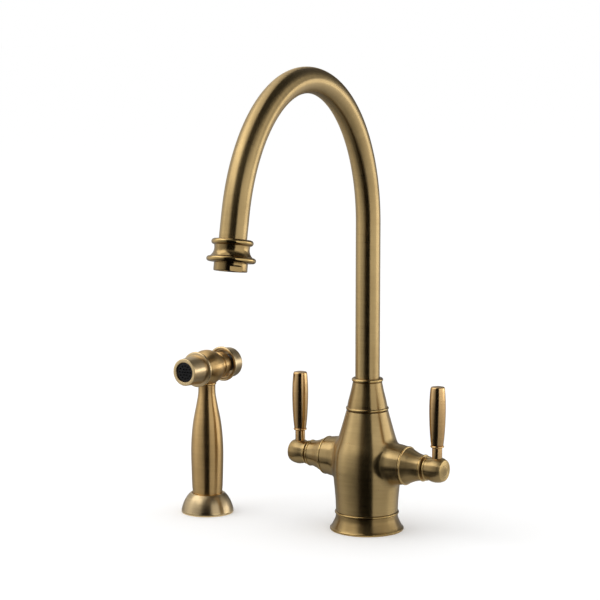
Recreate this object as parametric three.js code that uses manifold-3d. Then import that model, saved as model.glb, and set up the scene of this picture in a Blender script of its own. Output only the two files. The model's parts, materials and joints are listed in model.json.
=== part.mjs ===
// Two-handle gooseneck kitchen faucet with a separate side spray, in aged brass.
// Millimetres, +Z up. The faucet stands on the Z axis with the deck's top face at z = 0. The
// spout reaches towards -Y, the handles' axis runs along X, and the side spray stands at -X.

import * as THREE from 'three';
import { mergeVertices } from 'three/addons/utils/BufferGeometryUtils.js';
import Module from 'manifold-3d';

const wasm = await Module();
wasm.setup();

// ---------------------------------------------------------------- driving dimensions

const SEAM = 0.3;            // gap between pieces that meet, and round what turns or slides
const DECK = 30;             // thickness of the worktop that the fixings clamp
const PIPE_R = 11;           // spout pipe, outside
const PIPE_BORE = 9.5;
const ARCH_START = 277.5;    // height where the gooseneck starts to bend
const ARCH_R = 129.5;        // bend radius of its centre line
const ARCH_SWEEP = 167;      // degrees from the rise to the outlet's direction
const SPOUT_SWING = 8;       // degrees that the spout stands turned towards +X at rest
const FOOT_R = 33.4;         // flared foot, outside
const FOOT_TOP = 17.05;
const BODY_TOP = 109;
const BELLY_R = 30.9;
const NECK_R = 15.3;         // threaded neck that the collar screws onto
const NECK_TOP = 116;
const BODY_BORE = 13.2;
const COLLAR_TOP = 138.6;
const SHANK_R = 16;
const SHANK_BORE = 13.2;
const SHANK_LENGTH = 58;     // below the deck's top face
const VALVE_Z = 63;          // height of the handles' axis
const BRANCH_END = 40.8;     // side branch's face, from the faucet's axis
const LEVER_X = 72.5;        // lever's axis, from the faucet's axis
const SPINDLE_R = 4.8;
const SPRAY_X = -159;
const SPRAY_Y = -27;
const HOLDER_R = 24.35;
const HOLDER_TOP = 18.4;
const HOLDER_SHANK_R = 13;
const HEAD_Z = 137;          // height of the spray head's axis
const HEAD_R = 15.5;
const DIVERTER_TRAVEL = 3;

// sides of the turned pieces, by size
const COARSE = 24;
const MEDIUM = 16;
const SMALL = 12;
const TINY = 8;

const BRASS = { color: 0x8a6a3a, roughness: 0.36, metalness: 1 };
const BRONZE = { color: 0x96673a, roughness: 0.24, metalness: 1 };
const RAW_BRASS = { color: 0xb5904c, roughness: 0.4, metalness: 1 };
const STEEL = { color: 0x9a9da0, roughness: 0.38, metalness: 1 };
const RUBBER = { color: 0x161616, roughness: 0.85, metalness: 0 };
const BLACK_PLASTIC = { color: 0x101012, roughness: 0.5, metalness: 0 };
const NYLON = { color: 0xdad6c8, roughness: 0.6, metalness: 0 };
const CERAMIC = { color: 0xe4e0d6, roughness: 0.3, metalness: 0 };

// ---------------------------------------------------------------- outlines and solids

const P = (radius, along) => new THREE.Vector2(radius, along);

// a smooth line through a few points
const flow = (points, steps) => new THREE.SplineCurve(points.map(([r, z]) => P(r, z))).getPoints(steps);

// an arc about (r, z) between two angles in degrees, 0 being outwards and 90 along the axis
function arc(r, z, radius, from, to, steps = 4) {
  return Array.from({ length: steps + 1 }, (_, i) => {
    const angle = THREE.MathUtils.degToRad(from + (to - from) * i / steps);
    return P(r + radius * Math.cos(angle), z + radius * Math.sin(angle));
  });
}

// a bead's outer half, from its lower to its upper edge
const bead = (r, z, radius) => arc(r, z, radius, -90, 90, 3);

// drops the flat triangles at an axis or a seam and turns an inside-out mesh, so it bounds a solid
function closed(geometry) {
  const bare = new THREE.BufferGeometry();
  bare.setAttribute('position', geometry.attributes.position);
  bare.setIndex(geometry.index);
  const merged = mergeVertices(bare, 1e-4);
  const place = merged.attributes.position;
  const corner = [0, 1, 2].map(() => new THREE.Vector3());
  const faces = [];
  let volume = 0;
  for (let i = 0; i < merged.index.count; i += 3) {
    const face = [0, 1, 2].map((k) => merged.index.getX(i + k));
    if (new Set(face).size === 3) {
      face.forEach((v, k) => corner[k].fromBufferAttribute(place, v));
      volume += corner[0].dot(corner[1].cross(corner[2])) / 6;
      faces.push(face);
    }
  }
  merged.setIndex(faces.flatMap(([a, b, c]) => (volume > 0 ? [a, b, c] : [a, c, b])));
  return merged;
}

function toSolid(geometry) {
  const source = closed(geometry);
  return new wasm.Manifold(new wasm.Mesh({
    numProp: 3,
    vertProperties: Float32Array.from(source.attributes.position.array),
    triVerts: Uint32Array.from(source.index.array),
  }));
}

function toGeometry(solid) {
  const mesh = solid.getMesh();
  const geometry = new THREE.BufferGeometry();
  geometry.setAttribute('position', new THREE.BufferAttribute(mesh.vertProperties, 3));
  geometry.setIndex(new THREE.BufferAttribute(mesh.triVerts, 1));
  return geometry;
}

const union = (first, ...others) => toGeometry(others.reduce((s, g) => s.add(toSolid(g)), toSolid(first)));
const cut = (first, ...others) => toGeometry(others.reduce((s, g) => s.subtract(toSolid(g)), toSolid(first)));
const common = (first, second) => toGeometry(toSolid(first).intersect(toSolid(second)));

// a lathe-turned piece about Z; its outline ends on the axis, or closes on itself
function turned(outline, sides) {
  const onAxis = outline[0].x === 0;
  const points = onAxis ? outline : [...outline, outline[0].clone()];
  return closed(new THREE.LatheGeometry(points, sides).rotateX(Math.PI / 2));
}

// the same about +X, for the valves, and about -Y, for the spray head
const turnedX = (outline, sides) => turned(outline, sides).rotateY(Math.PI / 2);
const turnedFront = (outline, sides) => turned(outline, sides).rotateX(Math.PI / 2);

const rod = (r, low, high) => [P(0, low), P(r, low), P(r, high), P(0, high)];
const tube = (inner, outer, low, high) => [P(inner, low), P(outer, low), P(outer, high), P(inner, high)];
const ring = (r, z, radius) => arc(r, z, radius, 0, 300, 5);

function mesh(parent, name, geometry, finish) {
  const piece = new THREE.Mesh(geometry, new THREE.MeshStandardMaterial(finish));
  piece.name = name;
  parent.add(piece);
}

// ---------------------------------------------------------------- fixings under the deck

// a hexagon nut with its corners turned off, and the hole for its shank
function hexNut(flats, hole, low, high) {
  const corner = flats / 2 / Math.cos(Math.PI / 6);
  const shape = new THREE.Shape(Array.from({ length: 6 }, (_, i) => {
    const angle = Math.PI / 3 * i;
    return P(corner * Math.cos(angle), corner * Math.sin(angle));
  }));
  const height = high - low;
  const prism = new THREE.ExtrudeGeometry(shape, { depth: height, bevelEnabled: false });
  const chamfer = (corner - flats / 2) * 0.8;
  const turning = [
    P(hole, -1), P(corner - chamfer, -1), P(corner - chamfer, 0), P(corner + 1, chamfer),
    P(corner + 1, height - chamfer), P(corner - chamfer, height), P(corner - chamfer, height + 1),
    P(hole, height + 1),
  ];
  return common(prism, turned(turning, MEDIUM)).translate(0, 0, low);
}

function addFixings(parent) {
  const under = -DECK;
  const hole = SHANK_R + SEAM;
  mesh(parent, 'mounting_shank', turned(tube(SHANK_BORE, SHANK_R, -SHANK_LENGTH, 40), COARSE), RAW_BRASS);
  mesh(parent, 'deck_washer_rubber', turned(tube(hole, 27, under - 3, under), COARSE), RUBBER);
  mesh(parent, 'deck_washer_steel', turned(tube(hole, 26, under - 5.3, under - 3.3), COARSE), STEEL);
  mesh(parent, 'mounting_nut', hexNut(44, hole, under - 16, under - 5.6), RAW_BRASS);
}

// ---------------------------------------------------------------- foot and body

const CAVITY_TOP = 44;       // underside chamber that takes the shank and the hoses' inlets
const INLET_RING = 7.2;      // inlets' centres, from the axis
const GASKET_OUTER = 28.7;

function baseFlange() {
  return turned([
    P(SHANK_R + SEAM, 2), P(GASKET_OUTER + SEAM, 2), P(GASKET_OUTER + SEAM, 0), P(FOOT_R - 0.4, 0),
    P(FOOT_R, 0.5), P(FOOT_R, 1.5),
    ...flow([[FOOT_R - 0.2, 1.8], [31.8, 3.4], [29.9, 7.1], [28.4, 10.8], [28, 14.6]], 6),
    ...bead(27.9, 15.85, 1.2),
    P(SHANK_R + SEAM, FOOT_TOP),
  ], COARSE);
}

// a side branch, flaring where it grows out of the body; it is turned about +X
const branchOutline = () => [
  P(0, 0), P(20, 0), P(22, 20),
  ...flow([[21.4, 23], [20.3, 27], [18.5, 32.5], [17.2, 37], [16.7, BRANCH_END]], 5),
  P(0, BRANCH_END),
];

function faucetBody() {
  const low = FOOT_TOP + SEAM;
  const vase = turned([
    P(0, low),
    ...flow([[28, low], [28.6, 30], [30.3, 48], [BELLY_R, 60], [29.6, 73], [25.2, 86.5],
      [18.8, BODY_TOP]], 11),
    P(NECK_R, BODY_TOP), P(NECK_R, NECK_TOP), P(0, NECK_TOP),
  ], COARSE);
  const branch = turnedX(branchOutline(), MEDIUM).translate(0, 0, VALVE_Z);
  const shell = union(vase, branch, branch.clone().rotateZ(Math.PI));

  const half = [P(7, 0), P(7, 20.7), P(11.1, 20.7), P(11.1, 33), P(14, 33), P(14, BRANCH_END + 1)];
  const valveBore = [
    P(0, -BRANCH_END - 1),
    ...half.slice(1).reverse().map((p) => P(p.x, -p.y)),
    ...half.slice(1),
    P(0, BRANCH_END + 1),
  ];
  const upperBore = [P(0, 57), P(9, 57), P(9, 84), P(BODY_BORE, 84), P(BODY_BORE, NECK_TOP + 1),
    P(0, NECK_TOP + 1)];
  const inlets = inletPlaces().map(([x, y]) => turned(rod(3, CAVITY_TOP - 1, 60), TINY).translate(x, y, 0));
  return cut(
    shell,
    turned(rod(SHANK_R + SEAM, low - 1, CAVITY_TOP), COARSE),
    turned(upperBore, MEDIUM),
    turnedX(valveBore, MEDIUM).translate(0, 0, VALVE_Z),
    ...inlets,
  );
}

// left supply, right supply and the hose to the spray
function inletPlaces() {
  return [210, 330, 90].map((degrees) => {
    const angle = THREE.MathUtils.degToRad(degrees);
    return [INLET_RING * Math.cos(angle), INLET_RING * Math.sin(angle)];
  });
}

function addBody(parent) {
  mesh(parent, 'base_flange', baseFlange(), BRASS);
  mesh(parent, 'base_gasket', turned(tube(SHANK_R + 1, GASKET_OUTER, 0, 1.7), COARSE), RUBBER);
  mesh(parent, 'faucet_body', faucetBody(), BRASS);
  const names = ['supply_inlet_left', 'supply_inlet_right', 'spray_outlet'];
  inletPlaces().forEach(([x, y], i) => {
    const nipple = [P(3.1, 20), P(4.4, 20), P(4.4, 36), P(5.4, 37), P(5.4, CAVITY_TOP - SEAM),
      P(3.1, CAVITY_TOP - SEAM)];
    mesh(parent, names[i], turned(nipple, SMALL).translate(x, y, 0), RAW_BRASS);
  });
}

// the cone that holds the spout down: a bead at its foot and a round ring at its top
function addCollar(parent) {
  const hole = PIPE_R + 0.4;
  const ledge = NECK_TOP + 4.1;
  const cone = turned([
    P(NECK_R + 0.4, BODY_TOP + SEAM), P(18.4, BODY_TOP + SEAM),
    ...bead(18.2, 110.7, 1.2),
    ...flow([[18.1, 112.4], [17.2, 117.5], [14.7, 127.5], [13.2, 134.6]], 4),
    ...bead(12.6, COLLAR_TOP - 1.6, 1.6),
    P(hole, COLLAR_TOP), P(hole, ledge), P(NECK_R + 0.4, ledge),
  ], COARSE);
  mesh(parent, 'spout_collar', cone, BRASS);
}

// ---------------------------------------------------------------- diverter inside the body

function addDiverter(parent, moving) {
  const sleeve = [P(6.4, 75), P(8.7, 75), P(8.7, 84.3), P(12.6, 84.3), P(12.6, 86.2), P(6.4, 86.2)];
  mesh(parent, 'diverter_sleeve', turned(sleeve, MEDIUM), RAW_BRASS);
  const piston = [P(0, 77), P(6, 77), P(6, 81 + DIVERTER_TRAVEL / 2), P(2, 84), P(2, 85.5), P(0, 85.5)];
  mesh(moving, 'diverter_piston', turned(piston, SMALL), BLACK_PLASTIC);
}

// ---------------------------------------------------------------- valves and handles

// everything on one side is drawn for +X, about the handles' axis
function addValve(fixed, side) {
  const ringLow = BRANCH_END + SEAM;
  const bonnet = turnedX([
    P(11.1, 33.3), P(13.7, 33.3), P(13.7, ringLow), P(16, ringLow),
    ...bead(16.5, ringLow + 1, 1),
    ...flow([[15.6, 43.5], [15, 47], [13.1, 51], [11.8, 54.7], [11.2, 58.4]], 5),
    ...bead(10.95, 59.9, 0.95),
    P(SPINDLE_R + 0.4, 60.85), P(SPINDLE_R + 0.4, 51), P(11.1, 51),
  ], MEDIUM);
  mesh(fixed, `valve_bonnet_${side}`, bonnet, BRASS);

  const cartridge = turnedX([
    P(3, 24), P(10.8, 24), P(10.8, 49.6), P(SPINDLE_R + 0.4, 49.6), P(SPINDLE_R + 0.4, 34), P(8, 34),
    P(8, 28), P(3, 28),
  ], MEDIUM);
  mesh(fixed, `cartridge_${side}`, cartridge, RAW_BRASS);
  mesh(fixed, `seat_seal_${side}`, turnedX(tube(5, 10.5, 21.2, 23.7), SMALL), RUBBER);
}

const LEVER_FOOT = 6.9;      // above the handles' axis
const GRIP_FOOT = 20;
const GRIP_TOP = 74.9;

function handleHub() {
  const barrel = turnedX([
    P(0, 77), P(SPINDLE_R + SEAM, 77), P(SPINDLE_R + SEAM, 62.1), P(10, 62.1),
    ...bead(10.1, 63.05, 0.95),
    ...flow([[10.15, 64.3], [10.3, 66], [11.2, 70], [11.4, 73.5], [10.9, 77], [9.7, 79.7]], 6),
    P(8.9, 80.5), P(0, 80.5),
  ], MEDIUM);
  const leverHole = turned(rod(4.8, LEVER_FOOT - SEAM, 14), SMALL).translate(LEVER_X, 0, 0);
  const screwHole = turned(rod(1.9, -14, -SPINDLE_R - 0.1), TINY).translate(67.5, 0, 0);
  return cut(barrel, leverHole, screwHole);
}

function addHandle(handle, side) {
  mesh(handle, `handle_hub_${side}`, handleHub(), BRASS);

  const stem = [P(0, LEVER_FOOT), P(4.5, LEVER_FOOT), P(4.5, GRIP_FOOT - SEAM), P(2.6, GRIP_FOOT - SEAM),
    P(2.6, 36), P(0, 36)];
  mesh(handle, `lever_stem_${side}`, turned(stem, SMALL).translate(LEVER_X, 0, 0), BRONZE);

  const grip = [
    P(0, 37), P(2.9, 37), P(2.9, GRIP_FOOT), P(5, GRIP_FOOT),
    ...bead(5.1, GRIP_FOOT + 0.95, 0.95),
    ...flow([[5.5, 22.3], [6.35, 30], [7, 40], [7.35, 52], [7.2, 62], [6.6, 71], [6.3, 73.2]], 7),
    P(5.2, 74.2), P(0, GRIP_TOP),
  ];
  mesh(handle, `lever_grip_${side}`, turned(grip, SMALL + 2).translate(LEVER_X, 0, 0), BRONZE);

  const spindle = [P(0, 31.3), P(7.5, 31.3), P(7.5, 33.7), P(SPINDLE_R, 33.7), P(SPINDLE_R, 75.5),
    P(0, 75.5)];
  mesh(handle, `valve_spindle_${side}`, turnedX(spindle, SMALL), RAW_BRASS);
  mesh(handle, `valve_disc_${side}`, turnedX(rod(7.7, 28.3, 31), SMALL), CERAMIC);
  mesh(handle, `grub_screw_${side}`, turned(rod(1.6, -10.4, -5.4), TINY).translate(67.5, 0, 0), STEEL);
}

// ---------------------------------------------------------------- spout

const PIPE_LOW = NECK_TOP + 2.6;
const OUTLET_STRAIGHT = 30;  // straight end of the pipe, inside the outlet's rings for the last third

// the pipe's centre line in the plane x = 0: up, over and down; t runs through the three stretches
// at a pace of its own, so that the straight ones take one step each
class Gooseneck extends THREE.Curve {
  constructor(bendSteps) {
    super();
    this.steps = bendSteps + 2;
    this.bendSteps = bendSteps;
  }

  getPoint(t, target = new THREE.Vector3()) {
    const step = t * this.steps;
    if (step <= 1) return target.set(0, 0, THREE.MathUtils.lerp(PIPE_LOW, ARCH_START, step));
    const share = Math.min((step - 1) / this.bendSteps, 1);
    const angle = THREE.MathUtils.degToRad(ARCH_SWEEP * share);
    const past = Math.max(step - 1 - this.bendSteps, 0) * OUTLET_STRAIGHT;
    return target.set(
      0,
      -ARCH_R * (1 - Math.cos(angle)) - past * Math.sin(angle),
      ARCH_START + ARCH_R * Math.sin(angle) + past * Math.cos(angle),
    );
  }

  getUtoTmapping(u) {
    return u;
  }
}

function polygon(radius, sides) {
  return Array.from({ length: sides }, (_, i) => {
    const angle = 2 * Math.PI * i / sides;
    return P(radius * Math.cos(angle), radius * Math.sin(angle));
  });
}

function spoutPipe() {
  const path = new Gooseneck(26);
  const section = new THREE.Shape(polygon(PIPE_R, MEDIUM));
  const boreSides = 10;
  section.holes.push(new THREE.Path(polygon(PIPE_BORE / Math.cos(Math.PI / boreSides), boreSides)));
  return closed(new THREE.ExtrudeGeometry(section, { steps: path.steps, extrudePath: path }));
}

// brazed into the pipe's foot; it turns in the body's bore on two O-rings
const GROOVES = [90.8, 100];

function addSpoutFoot(spout) {
  const groove = (z) => [P(12.6, z - 1.2), P(10.9, z - 1.2), P(10.9, z + 1.2), P(12.6, z + 1.2)];
  const bush = [
    P(8.3, 87), P(12.6, 87), ...GROOVES.flatMap(groove),
    P(12.6, NECK_TOP + SEAM), P(14.6, NECK_TOP + SEAM), P(14.6, NECK_TOP + 2.3),
    P(PIPE_BORE - SEAM, NECK_TOP + 2.3), P(PIPE_BORE - SEAM, 128), P(8.3, 128),
  ];
  mesh(spout, 'spout_foot', turned(bush, MEDIUM), RAW_BRASS);
  mesh(spout, 'spout_oring_lower', turned(ring(11.9, GROOVES[0], 0.95), MEDIUM), RUBBER);
  mesh(spout, 'spout_oring_upper', turned(ring(11.9, GROOVES[1], 0.95), MEDIUM), RUBBER);
  const thrustRing = tube(PIPE_R + 0.45, 14.6, NECK_TOP + 2.6, NECK_TOP + 3.8);
  mesh(spout, 'spout_thrust_ring', turned(thrustRing, MEDIUM), NYLON);
}

// a round disc with rings of holes, low to high along Z
function perforated(radius, low, high, holeRadius, rings) {
  const shape = new THREE.Shape(polygon(radius, MEDIUM));
  for (const [count, at] of rings) {
    for (let i = 0; i < count; i += 1) {
      const angle = 2 * Math.PI * i / count;
      const hole = polygon(holeRadius, 5).map((p) => P(p.x + at * Math.cos(angle), p.y + at * Math.sin(angle)));
      shape.holes.push(new THREE.Path(hole));
    }
  }
  return closed(new THREE.ExtrudeGeometry(shape, { depth: high - low, bevelEnabled: false }).translate(0, 0, low));
}

// the outlet's pieces are drawn along +Z, which then points the way the water leaves
function addOutlet(outlet) {
  const collar = [
    P(PIPE_R + SEAM, 19.8), P(13.6, 19.8),
    ...bead(14.05, 22.15, 2.35),
    ...flow([[13.9, 25.2], [13.8, 28], [14.6, 30.8], [16.3, 33.2]], 4),
    ...bead(17.1, 35.6, 2.2),
    P(12.1, 37.8), P(12.1, 30.3), P(PIPE_R + SEAM, 30.3),
  ];
  mesh(outlet, 'outlet_collar', turned(collar, MEDIUM), BRASS);

  // the aerator's skirt has two spanner flats
  const flatTurn = THREE.MathUtils.degToRad(52);
  const housing = turned([
    P(10, 32), P(11.8, 32), P(11.8, 38.1), P(13.2, 38.1), P(13.2, 44.2), P(12.8, 44.7), P(10, 44.7),
  ], COARSE);
  const spanner = [1, -1].map((sign) => new THREE.BoxGeometry(20, 4, 5)
    .translate(0, sign * (12.3 + 2), 43.6)
    .rotateZ(flatTurn));
  mesh(outlet, 'aerator_housing', cut(housing, ...spanner), BRASS);
  mesh(outlet, 'aerator_insert', perforated(9.7, 40.5, 43.9, 0.85, [[1, 0], [5, 3.2], [10, 6.6]]), BLACK_PLASTIC);
  mesh(outlet, 'aerator_washer', turned(tube(8, 11.7, 30.35, 31.7), SMALL), RUBBER);
}

// ---------------------------------------------------------------- spray holder

function addHolder(parent) {
  const hole = HOLDER_SHANK_R + SEAM;
  const bell = turned([
    P(hole, 1.5), P(19, 1.5), P(19, 0), P(HOLDER_R - 0.4, 0), P(HOLDER_R, 0.5), P(HOLDER_R, 2),
    ...flow([[23.9, 4.2], [22.6, 8.2], [20.8, 12.1], [18.5, 15.6], [16.3, 17.9]], 6),
    P(15.4, HOLDER_TOP), P(14.3, HOLDER_TOP), P(14.3, 15.6), P(12, 15.6), P(12, 13.2), P(hole, 13.2),
  ], COARSE);
  mesh(parent, 'spray_holder', bell, BRASS);
  mesh(parent, 'holder_gasket', turned(tube(hole + SEAM, 18.7, 0, 1.2), MEDIUM), RUBBER);
  const liner = [P(10.8, 13.4), P(11.7, 13.4), P(11.7, 15.9), P(14, 15.9), P(14, 17.3), P(10.8, 17.3)];
  mesh(parent, 'holder_liner', turned(liner, MEDIUM), NYLON);
  mesh(parent, 'holder_shank', turned(tube(10.9, HOLDER_SHANK_R, -50, 12.9), MEDIUM), RAW_BRASS);
  mesh(parent, 'holder_washer', turned(tube(hole, 21, -DECK - 2, -DECK), MEDIUM), STEEL);
  mesh(parent, 'holder_nut', hexNut(34, hole, -DECK - 10.3, -DECK - 2.3), RAW_BRASS);
}

// ---------------------------------------------------------------- hand spray

// the hose's connector, on which the handset turns
function addHoseSwivel(parent) {
  const nipple = [P(3, 3.5), P(5.4, 3.5), P(5.4, 10), P(6.9, 10), P(6.9, 17.9), P(3, 17.9)];
  mesh(parent, 'hose_swivel', turned(nipple, SMALL), RAW_BRASS);
  mesh(parent, 'hose_washer', turned(tube(3, 6.9, 18.2, 19.4), SMALL), RUBBER);
}

function sprayHead() {
  const NECK = 11.1;
  const edge = THREE.MathUtils.radToDeg(Math.acos(NECK / HEAD_R));
  const body = turnedFront([
    P(7, 20), P(8.2, 20), P(8.2, 13.6), P(NECK, 13.6),
    ...arc(0, 0, HEAD_R, edge, -edge, 9),
    P(NECK, -14.8), ...arc(10.9, -16.5, 1.2, 90, -90, 3),
    P(NECK - 0.1, -18.5), P(NECK - 0.1, -26), P(2.9, -26), P(2.9, -9), P(7, -9), P(7, 5), P(4.6, 5),
    P(4.6, 8), P(7, 8),
  ], MEDIUM).translate(0, 0, HEAD_Z);
  const under = new THREE.BoxGeometry(60, 60, 10).translate(0, 0, 123.3 - 5);
  const waterway = turned(rod(4, 122, HEAD_Z - 2), TINY);
  return cut(body, under, waterway);
}

function addHandset(handset) {
  const grip = turned([
    P(7.4, 2.5), P(10.4, 2.5), P(10.4, 17.6), P(13.4, 17.6), P(13.7, 18),
    ...flow([[13.8, 20], [14.3, 26], [14.8, 42], [15.05, 57], [14.55, 71], [12.9, 86.5], [9.95, 101.7],
      [8.15, 112.5], [8, 120.7]], 12),
    P(5, 120.7), P(5, 19.7), P(7.4, 19.7),
  ], MEDIUM);
  mesh(handset, 'spray_grip', grip, BRASS);
  mesh(handset, 'grip_ring', turned([P(4.3, 121), P(7.9, 121), ...bead(7.9, 122, 1), P(4.3, 123)], SMALL), BRASS);
  mesh(handset, 'spray_head', sprayHead(), BRASS);

  const inFront = (outline, sides) => turnedFront(outline, sides).translate(0, 0, HEAD_Z);
  const nose = inFront([
    P(8.5, 13.9), P(15, 13.9), ...bead(15.2, 15.25, 1.3), P(13.4, 16.7),
    ...flow([[13.35, 17.4], [12.9, 26], [12.5, 34.3]], 2),
    P(12.1, 35), P(9.3, 35), P(9.3, 31.3), P(8.5, 31.3),
  ], MEDIUM);
  mesh(handset, 'nozzle_nose', nose, BRASS);
  mesh(handset, 'nozzle_seal', inFront(tube(6.9, 8.2, 20.3, 21.5), SMALL), RUBBER);
  const face = perforated(9, 31.6, 34.2, 0.6, [[1, 0], [6, 2.9], [12, 5.9]])
    .rotateX(Math.PI / 2)
    .translate(0, 0, HEAD_Z);
  mesh(handset, 'spray_face', face, BLACK_PLASTIC);
  mesh(handset, 'button_spring', buttonSpring(), STEEL);
}

// the return spring, between the head's rear neck and the button's end wall
const SPRING_REACH = [-26.9, -35.4];

class Coil extends THREE.Curve {
  constructor(radius, turns) {
    super();
    this.radius = radius;
    this.turns = turns;
  }

  getPoint(t, target = new THREE.Vector3()) {
    const angle = 2 * Math.PI * this.turns * t;
    const along = THREE.MathUtils.lerp(...SPRING_REACH, t);
    return target.set(this.radius * Math.cos(angle), this.radius * Math.sin(angle), along);
  }
}

function buttonSpring() {
  const turns = 4;
  const wire = new THREE.Shape(polygon(0.55, 5));
  const coil = new THREE.ExtrudeGeometry(wire, { steps: 8 * turns, extrudePath: new Coil(7.4, turns) });
  return closed(coil).rotateX(Math.PI / 2).translate(0, 0, HEAD_Z);
}

// a thumb button like a cup, sliding over the head's rear neck
function addButton(button) {
  const cup = turnedFront([
    P(0, -35.5), P(2.8, -35.5), P(2.8, -31), P(4.3, -31), P(4.3, -36), P(12.9, -36), P(12.9, -25.6),
    ...arc(15, -24.9, 1.35, 210, -70, 5),
    P(14.2, -27), P(14.1, -36.6), P(13.4, -37.7), P(9, -38.3), P(0, -38.5),
  ], MEDIUM).translate(0, 0, HEAD_Z);
  mesh(button, 'thumb_button', cup, BRASS);
  const stem = [P(0, -35.2), P(2.5, -35.2), P(2.5, 9.6), P(5.8, 9.6), P(5.8, 11.4), P(0, 11.4)];
  mesh(button, 'plunger_rod', turnedFront(stem, SMALL).translate(0, 0, HEAD_Z), STEEL);
  mesh(button, 'plunger_seal', turnedFront(tube(2.8, 5.8, 8.3, 9.3), SMALL).translate(0, 0, HEAD_Z), RUBBER);
}

// ---------------------------------------------------------------- the whole faucet

const faucet = new THREE.Group();

addFixings(faucet);
addBody(faucet);
addCollar(faucet);
addDiverter(faucet, faucet);

const right = new THREE.Group();
const left = new THREE.Group();
left.rotation.z = Math.PI;
for (const [group, side] of [[right, 'right'], [left, 'left']]) {
  group.position.z = VALVE_Z;
  addValve(group, side);
  addHandle(group, side);
  faucet.add(group);
}

const spout = new THREE.Group();
spout.rotation.z = THREE.MathUtils.degToRad(SPOUT_SWING);
mesh(spout, 'spout_pipe', spoutPipe(), BRASS);
addSpoutFoot(spout);
const outlet = new THREE.Group();
const sweep = THREE.MathUtils.degToRad(ARCH_SWEEP);
outlet.position.set(0, -ARCH_R * (1 - Math.cos(sweep)), ARCH_START + ARCH_R * Math.sin(sweep));
outlet.rotation.x = sweep;
addOutlet(outlet);
spout.add(outlet);
faucet.add(spout);

const sideSpray = new THREE.Group();
sideSpray.position.set(SPRAY_X, SPRAY_Y, 0);
addHolder(sideSpray);
addHoseSwivel(sideSpray);
addHandset(sideSpray);
addButton(sideSpray);
faucet.add(sideSpray);

export default faucet;
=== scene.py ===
"""Looks of the side spray kitchen faucet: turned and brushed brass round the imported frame.

Sizes are in millimetres, as on a turner's drawing, and every mesh is made in metres, in the
frame's own place, with the deck's top face at z = 0 and the spout reaching towards -Y.
"""
import json
from math import acos, cos, degrees, pi, radians, sin, sqrt, tan, tau

import bmesh
import bpy
import numpy as np
from bpy.props import FloatProperty, FloatVectorProperty, IntProperty, PointerProperty
from mathutils import Matrix, Vector


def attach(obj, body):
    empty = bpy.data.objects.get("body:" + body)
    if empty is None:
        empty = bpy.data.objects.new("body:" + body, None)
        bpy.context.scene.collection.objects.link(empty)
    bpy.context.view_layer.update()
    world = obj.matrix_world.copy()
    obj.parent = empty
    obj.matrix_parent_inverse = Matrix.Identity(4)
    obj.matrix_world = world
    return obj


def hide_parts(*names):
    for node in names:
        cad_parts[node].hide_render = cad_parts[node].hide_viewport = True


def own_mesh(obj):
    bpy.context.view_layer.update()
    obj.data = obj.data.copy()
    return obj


bl_info = {
    "name": "Side spray kitchen faucet",
    "version": (1, 0, 0),
    "blender": (4, 5, 0),
    "location": "3D View > Sidebar > Faucet",
    "description": "Dresses a packed kitchen faucet in turned, brushed and aged brass",
    "category": "Object",
}

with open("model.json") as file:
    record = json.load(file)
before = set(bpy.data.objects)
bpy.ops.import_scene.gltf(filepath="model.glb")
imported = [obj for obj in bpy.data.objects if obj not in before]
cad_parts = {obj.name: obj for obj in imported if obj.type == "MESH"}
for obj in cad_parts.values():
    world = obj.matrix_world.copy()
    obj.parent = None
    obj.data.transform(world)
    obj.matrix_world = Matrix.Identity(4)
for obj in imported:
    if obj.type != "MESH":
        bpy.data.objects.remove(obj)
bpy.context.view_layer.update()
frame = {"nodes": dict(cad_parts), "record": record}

MM = 0.001
SEAM = 0.3                  # gap between pieces that meet

# ---- sizes shared by several pieces

PIPE_R = 11
PIPE_BORE = 9.5
PIPE_LOW = 118.6
ARCH_START = 277.5
ARCH_R = 129.5
ARCH_SWEEP = 167
OUTLET_STRAIGHT = 30
TIP_TILT = 3
TIP_TILT_AT = 25            # the tip tilts about a point this far past the end of the arch
SPOUT_SWING = 8
FOOT_R = 33.4
BODY_LOW = 17.35
BODY_TOP = 109
NECK_R = 15.3
NECK_TOP = 116
COLLAR_TOP = 138.6
SHANK_R = 16
SHANK_BORE = 13.2
SHANK_END = -58
INLET_RING = 7.2            # the inlets' axes stand this far from the faucet's
VALVE_Z = 63
BRANCH_END = 40.8
LEVER_X = 72.5
SCREW_X = 67.5              # the hub's screw
SPINDLE_R = 4.8
SPRAY_AT = Vector((-159, -27, 0))
HOLDER_R = 24.35
HOLDER_TOP = 18.4
HOLDER_SHANK_R = 13
HEAD_Z = 137
HEAD_R = 16.4
HEAD_FLAT = 123.3           # height of the flat under the ball
ROOM = 0.4                  # gap round a piece that turns in another
MERGED = 1e-7               # points closer than this, in metres, are one
CRISP = radians(33)    # an edge that turns by more stays crisp


def place(x=0, y=0, z=0):
    return Matrix.Translation(Vector((x, y, z)) * MM)


def tilt(angle, axis):
    return Matrix.Rotation(radians(angle), 4, axis)


UPRIGHT = Matrix.Identity(4)
VALVES = {
    "right": place(z=VALVE_Z) @ tilt(90, "Y"),
    "left": place(z=VALVE_Z) @ tilt(180, "Z") @ tilt(90, "Y"),
}
LEVERS = {"right": place(LEVER_X, 0, VALVE_Z), "left": place(-LEVER_X, 0, VALVE_Z)}
SPOUT = tilt(SPOUT_SWING, "Z")
SWEEP = radians(ARCH_SWEEP)
OUTLET = (SPOUT @ place(0, -ARCH_R * (1 - cos(SWEEP)), ARCH_START + ARCH_R * sin(SWEEP))
          @ tilt(ARCH_SWEEP, "X"))
TIP = OUTLET @ place(z=TIP_TILT_AT) @ tilt(TIP_TILT, "X") @ place(z=-TIP_TILT_AT)
SPRAY = Matrix.Translation(SPRAY_AT * MM)
HEAD = SPRAY @ place(z=HEAD_Z) @ tilt(90, "X")


# ---- settings that a user would change

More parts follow.
